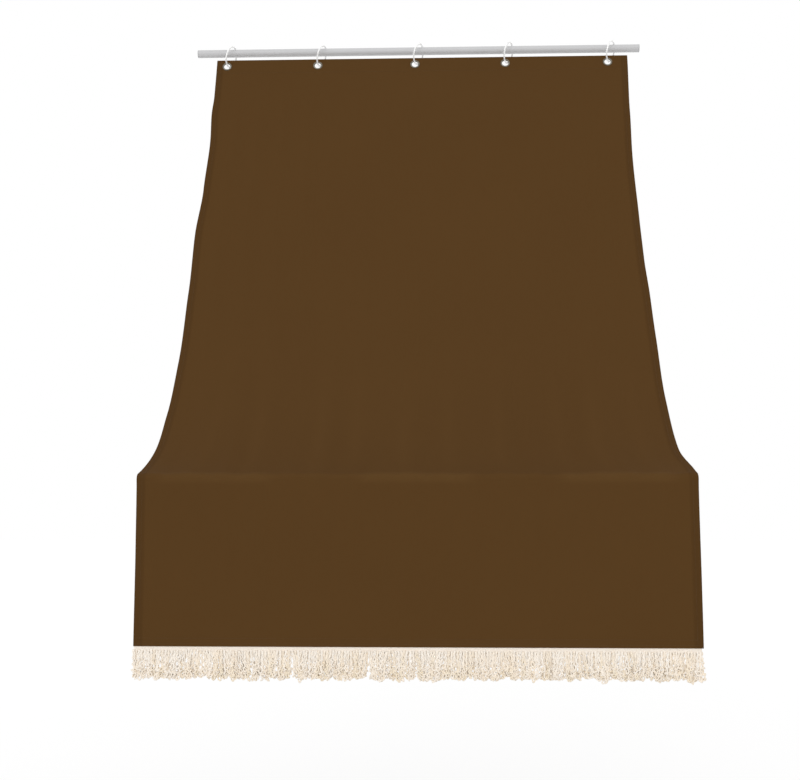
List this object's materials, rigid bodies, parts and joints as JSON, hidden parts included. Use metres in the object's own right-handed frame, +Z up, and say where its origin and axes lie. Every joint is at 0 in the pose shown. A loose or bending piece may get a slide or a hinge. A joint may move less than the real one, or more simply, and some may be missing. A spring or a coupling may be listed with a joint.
{
  "type": "window awning",
  "caption": "Drop awning of hemmed brown cloth, hung by eyelets and rings from a round rail, breaking forward over a level line to a cream looped fringe.",
  "frame": {"origin": "on the rail's axis at the middle of the rail's length, which is where brackets hold it", "axes": "+X along the rail to the viewer's right, -Y towards the front where the cloth drops, +Z up"},
  "size_m": [1.616, 1.083, 2.1459],
  "materials": {
    "rail": "satin",
    "plug": "matte",
    "ring": "glossy",
    "eyelet": "dull nickel",
    "cloth": "plain weave",
    "fringe": "crinkled yarn"
  },
  "bodies": {
    "rail": {"rail_tube": "rail", "rail_plug_left": "plug", "rail_plug_right": "plug"},
    "curtain": {"awning_cloth": "cloth", "fringe": "fringe", "ring_1": "ring", "eyelet_1": "eyelet", "eyelet_washer_1": "eyelet"},
    "carrier_2": {"ring_2": "ring", "eyelet_2": "eyelet", "eyelet_washer_2": "eyelet"},
    "carrier_3": {"ring_3": "ring", "eyelet_3": "eyelet", "eyelet_washer_3": "eyelet"},
    "carrier_4": {"ring_4": "ring", "eyelet_4": "eyelet", "eyelet_washer_4": "eyelet"},
    "carrier_5": {"ring_5": "ring", "eyelet_5": "eyelet", "eyelet_washer_5": "eyelet"}
  },
  "joints": [
    {"name": "slide", "type": "slide", "parent": "rail", "child": "curtain", "axis": [1, 0, 0], "range_m": [-0.07, 0.07]},
    {"name": "draw", "type": "slide", "parent": "curtain", "child": "carrier_5", "axis": [-1, 0, 0], "range_m": [0, 1.1104], "deforming": ["awning_cloth", "fringe"]},
    {"name": "draw_2", "type": "slide", "parent": "curtain", "child": "carrier_2", "axis": [-1, 0, 0], "range_m": [0, 0.2669]},
    {"name": "draw_3", "type": "slide", "parent": "curtain", "child": "carrier_3", "axis": [-1, 0, 0], "range_m": [0, 0.5513]},
    {"name": "draw_4", "type": "slide", "parent": "curtain", "child": "carrier_4", "axis": [-1, 0, 0], "range_m": [0, 0.8141]}
  ],
  "couplings": [
    {"joint": "draw_2", "follows": "draw", "ratio": 0.24029},
    {"joint": "draw_3", "follows": "draw", "ratio": 0.4964},
    {"joint": "draw_4", "follows": "draw", "ratio": 0.73309}
  ]
}
